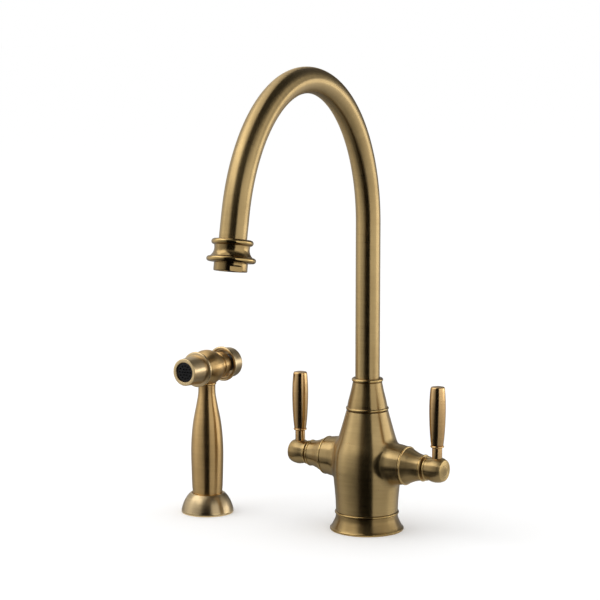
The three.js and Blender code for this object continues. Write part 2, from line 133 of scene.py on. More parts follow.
COLOUR = dict(subtype="COLOR", size=3, min=0, max=1)
LENGTH = dict(subtype="DISTANCE", unit="LENGTH")
SHARE = dict(subtype="FACTOR", min=0.05, max=1)
POWER = dict(subtype="POWER", unit="POWER", min=0, max=500)


class FaucetFinish(bpy.types.PropertyGroup):
    """Colours and finish of the metal and of the small parts."""

    brass: FloatVectorProperty(
        name="Aged brass", description="Colour of the brushed brass",
        default=(0.57, 0.411, 0.188), **COLOUR)
    bronze: FloatVectorProperty(
        name="Lever brass", description="Colour of the smoother, redder levers",
        default=(0.72, 0.472, 0.217), **COLOUR)
    spray: FloatVectorProperty(
        name="Spray brass", description="Colour of the spray's handle and ball",
        default=(0.715, 0.48, 0.208), **COLOUR)
    pale: FloatVectorProperty(
        name="Pale brass", description="Colour of the spray's nose, button and holder",
        default=(0.75, 0.575, 0.33), **COLOUR)
    raw: FloatVectorProperty(
        name="Raw brass", description="Colour of machined brass that stays hidden",
        default=(0.60, 0.45, 0.20), **COLOUR)
    roughness: FloatProperty(
        name="Satin", description="Roughness of the brushed brass", default=0.30, **SHARE)
    lever_roughness: FloatProperty(
        name="Lever satin", description="Roughness of the levers", default=0.18, **SHARE)
    brush: FloatProperty(
        name="Brush marks", description="Depth of the brush marks", default=0.000007,
        min=0, max=0.001, precision=6, **LENGTH)
    mark_pitch: FloatProperty(
        name="Brush pitch", description="Distance between coarse brush marks", default=0.0022,
        min=0.0001, max=0.01, precision=5, **LENGTH)


class FaucetSizes(bpy.types.PropertyGroup):
    """Fineness of the turned pieces and of the blend where the side branches leave the body."""

    sides: IntProperty(
        name="Sides", description="Steps round a full turn of a large piece", default=128,
        min=24, max=256)
    small_sides: IntProperty(
        name="Small sides", description="Steps round a full turn of a small piece", default=64,
        min=12, max=128)
    fillet: FloatProperty(
        name="Branch fillet", description="Width of the blend between the body and a branch",
        default=0.005, min=0.001, max=0.02, precision=4, **LENGTH)
    grain: FloatProperty(
        name="Body grain", description="Size of the faces of the blended body", default=0.0008,
        min=0.0004, max=0.004, precision=4, **LENGTH)


class FaucetStudio(bpy.types.PropertyGroup):
    """The soft studio light round the faucet."""

    fill: FloatProperty(
        name="World", description="Strength of the world's plain light", default=1.0,
        min=0, max=4)
    left_box: FloatProperty(
        name="Left box", description="Power of the left softbox", default=13, **POWER)
    right_box: FloatProperty(
        name="Right box", description="Power of the right softbox", default=3.5, **POWER)


# ---- outlines of turned pieces

def flow(points, steps):
    """A smooth line through a few points."""
    last = len(points) - 1
    line = []
    for i in range(steps + 1):
        at = i / steps * last
        k = min(int(at), last - 1)
        t = at - k
        a, b, c, d = (points[min(max(k + n, 0), last)] for n in (-1, 0, 1, 2))
        line.append(tuple(
            0.5 * ((2 * b[n]) + (c[n] - a[n]) * t + (2 * a[n] - 5 * b[n] + 4 * c[n] - d[n]) * t * t
                   + (3 * b[n] - a[n] - 3 * c[n] + d[n]) * t ** 3)
            for n in (0, 1)))
    return line


def arc(r, z, radius, start, end, steps=10):
    """Part of a circle about (r, z); 0 degrees is outwards and 90 along the axis."""
    turn = [radians(start + (end - start) * i / steps) for i in range(steps + 1)]
    return [(r + radius * cos(a), z + radius * sin(a)) for a in turn]


def bead(r, z, radius):
    return arc(r, z, radius, -90, 90, 12)


def plug(radius, low, high):
    return [(0, low), (radius, low), (radius, high), (0, high)]


def tube(inner, outer, low, high, edge=0.4):
    return [(inner, low, edge), (outer, low, edge), (outer, high, edge), (inner, high, edge)]


def softened(outline, closes):
    """Turns each corner that has a third number into an arc of that radius."""
    count = len(outline)
    line = []
    for i, point in enumerate(outline):
        here = Vector(point[:2])
        if len(point) == 2 or (not closes and i in (0, count - 1)):
            line.append(tuple(here))
            continue
        before = Vector(outline[i - 1][:2]) - here
        after = Vector(outline[(i + 1) % count][:2]) - here
        half = before.angle(after) / 2
        reach = min(point[2] / tan(half), before.length * 0.49, after.length * 0.49)
        start, end = here + before.normalized() * reach, here + after.normalized() * reach
        for step in range(5):
            t = step / 4
            line.append(tuple(start * (1 - t) ** 2 + here * 2 * t * (1 - t) + end * t * t))
    return line


# ---- meshes

def turned(outline, sides=None):
    """A piece turned about Z from an outline that ends on the axis or closes on itself."""
    on_axis = outline[0][0] == 0
    line = softened(outline, not on_axis)
    bm = bmesh.new()
    verts = [bm.verts.new((r * MM, 0, z * MM)) for r, z in line]
    edges = [bm.edges.new(pair) for pair in zip(verts, verts[1:])]
    if not on_axis:
        edges.append(bm.edges.new((verts[-1], verts[0])))
    steps = sides or bpy.context.scene.faucet_sizes.sides
    bmesh.ops.spin(bm, geom=verts + edges, cent=(0, 0, 0), axis=(0, 0, 1), angle=tau,
                   steps=steps, use_merge=True, use_duplicate=False)
    bmesh.ops.remove_doubles(bm, verts=bm.verts[:], dist=MERGED)
    return outward(bm)


def small(outline):
    return turned(outline, bpy.context.scene.faucet_sizes.small_sides)


def outward(bm):
    bmesh.ops.recalc_face_normals(bm, faces=bm.faces[:])
    return bm


def moved(bm, matrix):
    bmesh.ops.transform(bm, matrix=matrix, verts=bm.verts[:])
    return bm


def carved(bm, operation, *others):
    """Cuts the other shapes out of a closed mesh, or keeps or adds what they share."""
    host = new_object("blank", bm)
    tools = [new_object("blank", other) for other in others]
    for tool in tools:
        step = host.modifiers.new("carve", "BOOLEAN")
        step.operation = operation
        step.solver = "MANIFOLD"
        step.object = tool
    result = settled(host)
    for tool in tools:
        bpy.data.objects.remove(tool)
    return result


def new_object(name, bm):
    mesh = bpy.data.meshes.new(name)
    bm.to_mesh(mesh)
    bm.free()
    thing = bpy.data.objects.new(name, mesh)
    bpy.context.scene.collection.objects.link(thing)
    return thing


def settled(blank):
    """The mesh that an object's modifiers make; the object goes."""
    graph = bpy.context.evaluated_depsgraph_get()
    mesh = bpy.data.meshes.new_from_object(blank.evaluated_get(graph))
    bm = bmesh.new()
    bm.from_mesh(mesh)
    bpy.data.meshes.remove(mesh)
    bpy.data.objects.remove(blank)
    return bm


# ---- turning marks

def points_of(mesh):
    points = np.empty(len(mesh.vertices) * 3, np.float32)
    mesh.vertices.foreach_get("co", points)
    return points.reshape(-1, 3).astype(float)


def turning_marks(mesh, axis):
    """Where each point lies on its turned outline, and which way the brush went round."""
    inverse = np.array(axis.inverted())
    local = points_of(mesh) @ inverse[:3, :3].T + inverse[:3, 3]
    radius = np.hypot(local[:, 0], local[:, 1])
    flat = np.zeros(len(local))
    safe = np.maximum(radius, 1e-6)
    around = np.stack([-local[:, 1] / safe, local[:, 0] / safe, flat], 1)
    around[radius < 1e-5] = (1, 0, 0)
    return np.stack([radius, local[:, 2], flat], 1), around @ np.array(axis)[:3, :3].T


def bead_wear_and_highlight(outline, beads):
    """Bright wear and a painted highlight on raised beads: (radius, height, reach) in the piece's
    own outline, in mm.
    """
    wear_and_highlight = np.zeros(len(outline))
    for r, z, reach in beads:
        distance = np.hypot(outline[:, 0] / MM - r, outline[:, 1] / MM - z)
        wear_and_highlight = np.maximum(wear_and_highlight, np.clip(1 - distance / reach, 0, 1))
    return wear_and_highlight


def write_layer(mesh, name, values):
    """Gives each point of a mesh a number, or a vector, that its material reads."""
    kind, field = ("FLOAT", "value") if values.ndim == 1 else ("FLOAT_VECTOR", "vector")
    layer = mesh.attributes.new(name, kind, "POINT")
    layer.data.foreach_set(field, np.ascontiguousarray(values, np.float32).ravel())


# the slot of each finish that isn't named after its slot
SLOTS = {f"{kind}_brass": "aged_brass"
         for kind in ("smooth", "foot", "collar", "spray", "pale", "bell")}
SLOTS["turned_brass"] = "raw_brass"


def make(name, bm, axis, body, node, look, beads=(), marks=None, placed=False):
    """Makes the piece, with its place, marks, finish and body, and hides the node it stands for."""
    if not placed:
        moved(bm, axis)
    bmesh.ops.triangulate(bm, faces=[f for f in bm.faces if len(f.verts) > 4])
    for face in bm.faces:
        face.smooth = True
    for edge in bm.edges:
        edge.smooth = edge.calc_face_angle(0) <= CRISP
    piece = new_object(name, bm)
    mesh = piece.data
    outline, around = marks(mesh) if marks else turning_marks(mesh, axis)
    write_layer(mesh, "outline", outline)
    write_layer(mesh, "around", around)
    write_layer(mesh, "wear_and_highlight", bead_wear_and_highlight(outline, beads))
    mesh.materials.append(finish(look))
    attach(piece, body)
    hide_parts(node)
    return piece


# ---- materials

class Nodes:
    """Adds nodes to a tree; a value or another node's output can go into each input."""

    def __init__(self, tree):
        self.tree = tree

    def feed(self, node, inputs):
        for key, value in inputs.items():
            if isinstance(value, bpy.types.NodeSocket):
                self.tree.links.new(value, node.inputs[key])
            else:
                node.inputs[key].default_value = value

    def add(self, kind, inputs, **values):
        node = self.tree.nodes.new(f"ShaderNode{kind}")
        for key, value in values.items():
            setattr(node, key, value)
        self.feed(node, inputs)
        return node.outputs

    def attribute(self, name, output="Vector"):
        return self.add("Attribute", {}, attribute_name=name)[output]

    def where(self):
        return self.add("TexCoord", {})["Object"]

    def math(self, operation, a, b):
        return self.add("Math", {0: a, 1: b}, operation=operation)[0]

    def scaled(self, vector, scale):
        return self.add("VectorMath", {0: vector, "Scale": scale}, operation="SCALE")[0]

    def ramp(self, source, low, high, to_low=0.0, to_high=1.0):
        return self.add("MapRange", {"Value": source, "From Min": low, "From Max": high,
                                     "To Min": to_low, "To Max": to_high})["Result"]

    def mixed(self, factor, a, b):
        a, b = (tone if isinstance(tone, bpy.types.NodeSocket) else (*tone, 1) for tone in (a, b))
        return self.add("Mix", {0: factor, 6: a, 7: b}, data_type="RGBA")[2]

    def noise(self, vector, scale, detail=2.0, roughness=0.5):
        return self.add("TexNoise", {"Vector": vector, "Scale": scale, "Detail": detail,
                                     "Roughness": roughness})["Fac"]

    def bump(self, height, strength, depth):
        return self.add("Bump", {
            "Height": height, "Strength": strength, "Distance": depth})["Normal"]


def new_material(name):
    material = bpy.data.materials.new(name)
    material.use_nodes = True
    return material, Nodes(material.node_tree), material.node_tree.nodes["Principled BSDF"]


def brushed_metal(name, colour, roughness, brush, pitch, anisotropy, patina):
    """Metal brushed round the piece, darker in patches, and lighter on its beads with polished wear
    and a painted highlight.
    """
    material, tree, shader = new_material(name)
    where = tree.where()
    # fine along the outline and slow round the piece, so that the marks run round it
    marks = tree.add("VectorMath", {
        0: tree.scaled(tree.attribute("outline"), 1 / pitch), 1: tree.scaled(where, 40.0)},
        operation="ADD")[0]
    streaks = tree.noise(marks, 1.0, 5.0, 0.62)
    cloud = tree.noise(where, 55.0, 3.0, 0.55)
    spots = tree.noise(where, 420.0)
    wear_and_highlight = tree.attribute("wear_and_highlight", "Fac")

    dark = tuple(c * k for c, k in zip(colour, (0.72, 0.66, 0.58)))
    light = tuple(min(c * k, 1) for c, k in zip(colour, (1.16, 1.15, 1.10)))
    # painted highlight: the beads take a lifted, paler brass that stands partly for polished wear
    # and partly for the highlight their crests catch
    lift = min(1.5, 0.95 / colour[0])
    polished_and_highlit = tuple(c * lift * k for c, k in zip(colour, (1, 0.985, 0.9)))
    tone = tree.mixed(tree.ramp(streaks, 0.30, 0.70), dark, light)
    tone = tree.mixed(0.7, tone, colour)
    tone = tree.mixed(tree.ramp(cloud, 0.35, 0.75, 0.0, patina), tone, dark)
    tone = tree.mixed(tree.ramp(spots, 0.60, 0.80, 0.0, patina * 0.5), tone, dark)
    worn_and_highlit = tree.math("MULTIPLY", wear_and_highlight, tree.ramp(streaks, 0.2, 0.6, 0.55, 1.0))

    grain = tree.ramp(streaks, 0.25, 0.75, roughness * 0.86, roughness * 1.16)
    grain = tree.math("ADD", grain, tree.ramp(cloud, 0.4, 0.8, 0.0, 0.05))
    grain = tree.math("SUBTRACT", grain, tree.math("MULTIPLY", wear_and_highlight, 0.08))
    tree.feed(shader, {
        "Metallic": 1.0, "Anisotropic": anisotropy, "Anisotropic Rotation": 0.25,
        "Coat Weight": 0.08, "Coat Roughness": 0.16, "Roughness": grain,
        "Base Color": tree.mixed(worn_and_highlit, tone, polished_and_highlit), "Tangent": tree.attribute("around"),
        "Normal": tree.bump(streaks, 1.0, brush)})
    return material


def moulded(name, colour, roughness, depth=0.00002, metallic=0.0, spread=0.25, specular=0.5):
    """Rubber, plastic, ceramic or plain machined metal with a fine even grain."""
    material, tree, shader = new_material(name)
    where = tree.where()
    fine = tree.noise(where, 900.0, 3.0, 0.6)
    broad = tree.noise(where, 90.0)
    low = tuple(c * (1 - spread) for c in colour)
    high = tuple(min(c * (1 + spread), 1) for c in colour)
    tone = tree.mixed(tree.ramp(broad, 0.3, 0.7), low, high)
    tree.feed(shader, {
        "Metallic": metallic, "Specular IOR Level": specular,
        "Base Color": tree.mixed(tree.ramp(fine, 0.35, 0.75, 0.0, 0.5), tone, low),
        "Roughness": tree.ramp(fine, 0.3, 0.7, roughness * 0.85, roughness * 1.12),
        "Normal": tree.bump(fine, 0.6, depth)})
    return material


def deeper(colour, share):
    """A darker and redder tone of a brass."""
    return tuple(c * share ** power for c, power in zip(colour, (1, 1.1, 1.3)))


def finish(look):
    """A finish by its name, made the first time it is asked for."""
    name = f"{look}_finish"
    if name in bpy.data.materials:
        return bpy.data.materials[name]
    user = bpy.context.scene.faucet_finish
    brass, spray, pale, bronze, raw = (
        tuple(getattr(user, key)) for key in ("brass", "spray", "pale", "bronze", "raw"))
    satin, smooth, brush, pitch = user.roughness, user.lever_roughness, user.brush, user.mark_pitch
    # roughness, depth and pitch of the brush marks, anisotropy, patina
    aged, soft = (satin, brush, pitch, 0.95, 0.30), (satin, brush, pitch, 0.6, 0.35)
    brushed = {
        "aged_brass": (brass, *aged),
        # painted shade: the foot's brass is darkened and reddened to stand in for the shade that
        # falls low by the deck
        "foot_brass": (deeper(brass, 0.68), *aged),
        "collar_brass": (deeper(brass, 0.85), *aged),
        "smooth_brass": (deeper(brass, 0.7), smooth * 1.1, brush * 0.5, pitch, 0.5, 0.30),
        "spray_brass": (spray, satin, brush, pitch, 0.95, 0.35),
        "pale_brass": (pale, *soft),
        "bell_brass": (tuple(0.82 * c for c in pale), *soft),
        "aged_bronze": (bronze, smooth, brush * 0.4, pitch, 0.35, 0.15),
        "turned_brass": (raw, 0.33, brush, pitch * 0.5, 0.5, 0.12),
    }
    # colour, roughness and what else differs
    plain = {
        "raw_brass": (raw, 0.36, dict(metallic=1.0, spread=0.12)),
        "steel": ((0.55, 0.56, 0.57), 0.34, dict(metallic=1.0, spread=0.10)),
        "rubber": ((0.022, 0.022, 0.023), 0.78, dict(depth=0.00004)),
        "black_plastic": ((0.004, 0.004, 0.005), 0.4, dict(specular=0.3)),
        "nylon": ((0.66, 0.63, 0.55), 0.5, dict(spread=0.06)),
        "ceramic": ((0.78, 0.75, 0.68), 0.28, dict(spread=0.05)),
    }
    if look in brushed:
        return brushed_metal(name, *brushed[look])
    colour, roughness, rest = plain[look]
    return moulded(name, colour, roughness, **rest)


# ---- the body and its branches

BODY_LINE = [(28, BODY_LOW), (28.6, 30), (30.3, 48), (30.9, 60), (29.6, 73), (25.2, 86.5),
             (18.8, BODY_TOP)]
BRANCH_LINE = [(18.6, 22), (18.7, 27), (18.4, 32.5), (17.8, 37), (17.1, BRANCH_END)]
MARKS_BLEND = 0.8           # width over which the brush marks change way, in mm


def body_distance(points, fillet):
    """Distance out of the body and its two branches, blended where they meet; all in mm."""
    vase = np.array(flow(BODY_LINE, 200))
    branch = np.array(flow(BRANCH_LINE, 100))
    x, y, z = points.T
    side = np.abs(x)
    out_of_vase = np.hypot(x, y) - np.interp(z, vase[:, 1], vase[:, 0])
    out_of_branch = np.hypot(y, z - VALVE_Z) - np.interp(side, branch[:, 1], branch[:, 0])
    overlap = np.clip(fillet - np.abs(out_of_vase - out_of_branch), 0, None) / fillet
    near = np.minimum(out_of_vase, out_of_branch) - overlap * overlap * fillet / 4
    share = np.clip(0.5 + (out_of_vase - out_of_branch) / (2 * fillet), 0, 1)
    return near, share


def settle_on_body(bm, fillet, rounds=5, nudge=0.01, least=0.05, stride=1.5):
    """Moves each point of the rough union down the slope of the distance, onto the surface."""
    points = np.array([v.co for v in bm.verts]) / MM
    for _ in range(rounds):
        here, _ = body_distance(points, fillet)
        slope = np.stack([
            (body_distance(points + step, fillet)[0] - body_distance(points - step, fillet)[0])
            / (2 * nudge) for step in np.eye(3) * nudge], 1)
        size = np.maximum((slope ** 2).sum(1), least)
        points -= slope * np.clip(here / size, -stride, stride)[:, None]
    for vert, point in zip(bm.verts, points * MM):
        vert.co = point


def body_marks(mesh):
    """Brush marks run round the body and, on the branches, round the handles' axis."""
    points = points_of(mesh) / MM
    _, share = body_distance(points, MARKS_BLEND)
    share = (share * share * (3 - 2 * share))[:, None]
    x, y, z = points.T
    radius = np.maximum(np.hypot(x, y), 0.01)
    reach = np.maximum(np.hypot(y, z - VALVE_Z), 0.01)
    flat = np.zeros(len(points))
    round_vase = np.stack([-y / radius, x / radius, flat], 1)
    round_branch = np.stack([flat, -(z - VALVE_Z) / reach, y / reach], 1)
    round_branch *= np.where((round_vase * round_branch).sum(1) < 0, -1, 1)[:, None]
    on_vase = np.stack([radius, z, flat], 1) * MM
    on_branch = np.stack([reach, np.abs(x), flat], 1) * MM
    return (on_vase * (1 - share) + on_branch * share,
            round_vase * (1 - share) + round_branch * share)


class FAUCET_OT_body(bpy.types.Operator):
    """Blend the vase-shaped body with its two side branches and bore it"""

    bl_idname = "faucet.body"
    bl_label = "Body"

    def execute(self, context):
        sizes = context.scene.faucet_sizes
        fillet = sizes.fillet / MM
        over = 4
        vase = turned([(0, BODY_LOW - over), (28, BODY_LOW - over), *flow(BODY_LINE, 40),
                       (18.8 - 0.3 * over, BODY_TOP + over), (0, BODY_TOP + over)])
        branches = [
            moved(turned([(0, 0), (18.6, 0), *flow(BRANCH_LINE, 20),
                          (16.5, BRANCH_END + over), (0, BRANCH_END + over)]), axis)
            for axis in VALVES.values()]
        rough = new_object("blank", carved(vase, "UNION", *branches))
        remesh = rough.modifiers.new("even", "REMESH")
        remesh.mode = "VOXEL"
        remesh.voxel_size = sizes.grain
        bm = settled(rough)
        settle_on_body(bm, fillet)
        for at, way in (((0, 0, BODY_LOW), (0, 0, -1)), ((0, 0, BODY_TOP), (0, 0, 1)),
                        ((BRANCH_END, 0, 0), (1, 0, 0)), ((-BRANCH_END, 0, 0), (-1, 0, 0))):
            bmesh.ops.bisect_plane(bm, geom=bm.verts[:] + bm.edges[:] + bm.faces[:],
                                   plane_co=Vector(at) * MM, plane_no=way, clear_outer=True)
            rim = [e for e in bm.edges if e.is_boundary]
            bmesh.ops.holes_fill(bm, edges=rim, sides=0)

        neck = turned([
            (0, BODY_TOP - 2), (NECK_R, BODY_TOP - 2), (NECK_R, NECK_TOP, 0.4), (0, NECK_TOP)])
        bm = carved(outward(bm), "UNION", neck)
        half = [(7, 20.7), (11.1, 20.7), (11.1, 33), (14, 33), (14, BRANCH_END + 1)]
        valve_bore = [(0, -BRANCH_END - 1), *[(r, -z) for r, z in reversed(half)], *half,
                      (0, BRANCH_END + 1)]
        bores = [
            turned(plug(SHANK_R + SEAM, BODY_LOW - 1, 44)),
            turned([(0, 57), (9, 57), (9, 84), (13.2, 84), (13.2, NECK_TOP + 1),
                    (0, NECK_TOP + 1)]),
            moved(turned(valve_bore), VALVES["right"]),
        ]
        for angle in (210, 330, 90):
            spot = tilt(angle, "Z") @ Vector((INLET_RING, 0, 0))
            bores.append(moved(small(plug(3, 43, 60)), place(*spot)))
        bm = carved(bm, "DIFFERENCE", *bores)
        make("brass_body", bm, UPRIGHT, "base", "faucet_body", "aged_brass", marks=body_marks)
        return {"FINISHED"}


class FAUCET_OT_foot(bpy.types.Operator):
    """Turn the flared foot with its bead, and the cone collar that holds the spout"""

    bl_idname = "faucet.foot"
    bl_label = "Foot and collar"

    def execute(self, context):
        foot = turned([
            (SHANK_R + SEAM, 2), (29, 2), (29, 0, 0.2), (FOOT_R, 0, 0.5), (FOOT_R, 1.5, 0.3),
            *flow([(FOOT_R - 0.2, 1.8), (31.8, 3.4), (29.9, 7.1), (28.4, 10.8), (28, 14.4)], 30),
            *bead(27.9, 15.85, 1.2), (SHANK_R + SEAM, 17.05),
        ])
        # the foot takes the brass darkened as painted shade near the deck
        make("brass_foot", foot, UPRIGHT, "base", "base_flange", "foot_brass",
             [(29.1, 15.85, 2.0), (FOOT_R, 1, 2.0)])

        hole = PIPE_R + ROOM
        ledge = NECK_TOP + 4.1
        collar = turned([
            (NECK_R + ROOM, BODY_TOP + SEAM), (16.6, BODY_TOP + SEAM, 0.2), (16.6, 110),
            *bead(18.3, 111.1, 1.1), (18.15, 112.4, 0.2),
            *flow([(18.05, 112.8), (17.2, 117.5), (14.7, 127.5), (13.2, 134.9)], 24),
            *bead(12.6, COLLAR_TOP - 1.6, 1.6),
            (hole, COLLAR_TOP, 0.3), (hole, ledge), (NECK_R + ROOM, ledge),
        ])
        make("brass_collar", collar, UPRIGHT, "base", "spout_collar", "collar_brass",
             [(19.4, 111.1, 1.4), (14.2, COLLAR_TOP - 1.6, 1.6)])
        return {"FINISHED"}


class FAUCET_OT_valves(bpy.types.Operator):
    """Turn the bonnet of each side valve"""

    bl_idname = "faucet.valves"
    bl_label = "Valve bonnets"

    def execute(self, context):
        low = BRANCH_END + SEAM
        for side, axis in VALVES.items():
            bonnet = turned([
                (11.1, 33.3), (13.7, 33.3), (13.7, low), (16, low),
                *bead(16.5, low + 1, 1),
                *flow([(16.2, 43.3), (15.1, 46.3), (13.15, 50.9), (12, 55), (11.5, 58.4)], 24),
                *bead(11.2, 59.6, 0.9),
                (SPINDLE_R + ROOM, 60.5), (SPINDLE_R + ROOM, 51), (11.1, 51),
            ])
            make(f"bonnet_{side}", bonnet, axis, "base", f"valve_bonnet_{side}", "aged_brass",
                 [(17.5, low + 1, 2.2), (12.1, 59.6, 1.7)])
        return {"FINISHED"}


class FAUCET_OT_handles(bpy.types.Operator):
    """Turn each handle's hub, its thin stem and its swelling grip"""

    bl_idname = "faucet.handles"
    bl_label = "Lever handles"

    def execute(self, context):
        for side in VALVES:
            self.hub(side)
            body, axis = f"{side}_handle", LEVERS[side]
            stem = small([
                (0, 6.9), (4.5, 6.9), (4.5, 19.7, 0.3), (2.6, 19.7), (2.6, 36, 0.5), (0, 36)])
            make(f"stem_{side}", stem, axis, body, f"lever_stem_{side}", "aged_bronze")
            grip = small([
                (0, 37), (2.9, 37), (2.9, 20), (5, 20),
                *bead(5.1, 20.95, 0.95),
                *flow([(5.5, 22.2), (6.35, 30), (7, 40), (7.35, 52), (7.2, 62), (6.6, 71),
                       (6.3, 73)], 40),
                (5.9, 74.1, 0.8), (0, 74.9),
            ])
            make(f"grip_{side}", grip, axis, body, f"lever_grip_{side}", "aged_bronze",
                 [(6.05, 20.95, 1.5), (6.2, 74, 1.4)])
        return {"FINISHED"}

    def hub(self, side):
        """A closed barrel on the spindle, with a socket for the stem and a hole for the screw."""
        axis = VALVES[side]
        barrel = turned([
            (0, 77), (SPINDLE_R + SEAM, 77), (SPINDLE_R + SEAM, 62.4), (10, 62.4),
            *bead(10.1, 63.25, 0.85),
            *flow([(10.15, 64.25), (10.3, 66), (11.2, 70), (11.4, 73.5), (10.8, 77.2),
                   (9.7, 79.8)], 30),
            (9, 80.5, 0.3), (0, 80.5),
        ])
        lever, screw = small(plug(4.8, 6.6, 14)), small(plug(1.9, -14, -4.9))
        out = 1 if side == "right" else -1
        hub = carved(moved(barrel, axis), "DIFFERENCE", moved(lever, LEVERS[side]),
                     moved(screw, place(out * SCREW_X, 0, VALVE_Z)))
        make(f"hub_{side}", hub, axis, f"{side}_handle", f"handle_hub_{side}", "aged_brass",
             [(11.05, 63.25, 1.6), (9, 80.5, 1)], placed=True)


class FAUCET_OT_spout(bpy.types.Operator):
    """Bend the gooseneck pipe"""

    bl_idname = "faucet.spout"
    bl_label = "Spout pipe"

    def execute(self, context):
        bm = bmesh.new()
        ends = []
        for radius in (PIPE_R, PIPE_BORE):
            ring = bmesh.ops.create_circle(bm, segments=96, radius=radius * MM,
                                           matrix=place(z=PIPE_LOW))["verts"]
            first = list({e for v in ring for e in v.link_edges})
            top = self.drawn(bm, first, Vector((0, 0, ARCH_START - PIPE_LOW)), 12)
            out = bmesh.ops.spin(bm, geom=top, cent=(0, -ARCH_R * MM, ARCH_START * MM),
                                 axis=(1, 0, 0), angle=SWEEP, steps=120)["geom_last"]
            bent = [g for g in out if isinstance(g, bmesh.types.BMEdge)]
            way = Vector((0, -sin(SWEEP), cos(SWEEP)))
            ends.append((first, self.drawn(bm, bent, way * OUTLET_STRAIGHT, 3)))
        for outer, inner in zip(*ends):
            bmesh.ops.bridge_loops(bm, edges=outer + inner)
        bmesh.ops.remove_doubles(bm, verts=bm.verts[:], dist=MERGED)
        make("gooseneck", outward(bm), SPOUT, "spout", "spout_pipe", "aged_brass",
             marks=self.marks)
        return {"FINISHED"}

    @staticmethod
    def drawn(bm, edges, way, steps):
        """Draws open edges out along a way, in even steps, and gives the edges at its end."""
        for _ in range(steps):
            out = bmesh.ops.extrude_edge_only(bm, edges=edges)["geom"]
            verts = [g for g in out if isinstance(g, bmesh.types.BMVert)]
            edges = [g for g in out if isinstance(g, bmesh.types.BMEdge)]
            bmesh.ops.translate(bm, verts=verts, vec=way / steps * MM)
        return edges

    @staticmethod
    def marks(mesh):
        """Marks run round the pipe, square to its centre line."""
        back = np.array(SPOUT.inverted())[:3, :3]
        x, y, z = (points_of(mesh) @ back.T / MM).T
        flat = np.zeros(len(x))
        turn = np.clip(np.arctan2(z - ARCH_START, y + ARCH_R), 0, SWEEP)
        turn[(z < ARCH_START) & (y > -ARCH_R)] = 0
        turn[(z < ARCH_START + ARCH_R * sin(SWEEP)) & (y < -ARCH_R)] = SWEEP
        centre = np.stack([
            flat, -ARCH_R * (1 - np.cos(turn)), ARCH_START + ARCH_R * np.sin(turn)], 1)
        line = np.stack([flat, -np.sin(turn), np.cos(turn)], 1)
        offset = np.stack([x, y, z], 1) - centre
        past = (offset * line).sum(1)
        along = turn * ARCH_R + past
        offset -= line * past[:, None]
        radius = np.linalg.norm(offset, axis=1)
        around = np.cross(line, offset) / radius[:, None]
        outline = np.stack([radius, along, flat], 1) * MM
        return outline, around @ np.array(SPOUT)[:3, :3].T


class FAUCET_OT_outlet(bpy.types.Operator):
    """Turn the outlet's waisted collar and make the aerator in it"""

    bl_idname = "faucet.outlet"
    bl_label = "Outlet"

    def execute(self, context):
        collar = turned([
            (PIPE_R + ROOM, 19.8), (13.2, 19.8, 0.3),
            *bead(14.05, 22.15, 2.35), (14.0, 24.6, 0.2),
            *flow([(13.9, 25.2), (13.8, 28), (14.6, 30.8), (16.3, 33.1)], 24),
            *bead(17.1, 35.6, 2.2),
            (12.1, 37.8, 0.3), (12.1, 30.3), (PIPE_R + ROOM, 30.3),
        ])
        make("outlet_rings", collar, TIP, "spout", "outlet_collar", "smooth_brass",
             [(16.4, 22.15, 2.2), (19.3, 35.6, 2.4)])

        skirt = turned([
            (10, 32), (11.8, 32), (11.8, 38.1), (13.2, 38.1, 0.2), (13.2, 44.7, 0.9),
            (10, 44.7, 0.3)])
        flat_at, ledge, turn, cutter = 12.1, 41.1, -49, 4
        cuts = []
        for sign in (1, -1):
            side = tilt(turn, "Z") @ Matrix.Scale(sign, 4, (0, 1, 0))
            for spot in (place(0, flat_at + cutter / 2, ledge + cutter / 2),
                         place(0, flat_at + cutter * sqrt(0.5), ledge) @ tilt(45, "X")):
                cut = bmesh.new()
                bmesh.ops.create_cube(cut, size=1, matrix=(
                    side @ spot @ Matrix.Diagonal((5 * cutter * MM, cutter * MM, cutter * MM, 1))))
                cuts.append(outward(cut))
        skirt = carved(skirt, "DIFFERENCE", *cuts)
        make("aerator_skirt", skirt, TIP, "spout", "aerator_housing", "smooth_brass")

        insert = perforated(radius=9.7, low=40.5, high=43.9, lip=0.25, hole=0.85,
                            rings=((1, 0), (5, 3.2), (10, 6.6)))
        make("aerator_screen", insert, TIP, "spout", "aerator_insert", "black_plastic")
        return {"FINISHED"}


def perforated(radius, low, high, lip, hole, rings):
    """A disc with rings of (count, radius) holes, each in a nipple that stands out by the lip."""
    disc = small([(0, low), (radius, low), (radius, high - lip, 0.2), (0, high - lip)])
    nipples, drills = [], []
    for count, at in rings:
        for i in range(count):
            angle = tau * i / count
            spot = place(at * cos(angle), at * sin(angle))
            nipple = turned([
                (0, low + 0.5), (hole * 1.7, low + 0.5), (hole * 1.7, high - lip),
                (hole * 1.35, high, 0.1), (0, high)], 20)
            drill = turned(plug(hole, low - 1, high + 1), 16)
            nipples.append(moved(nipple, spot))
            drills.append(moved(drill, spot))
    return carved(carved(disc, "UNION", *nipples), "DIFFERENCE", *drills)


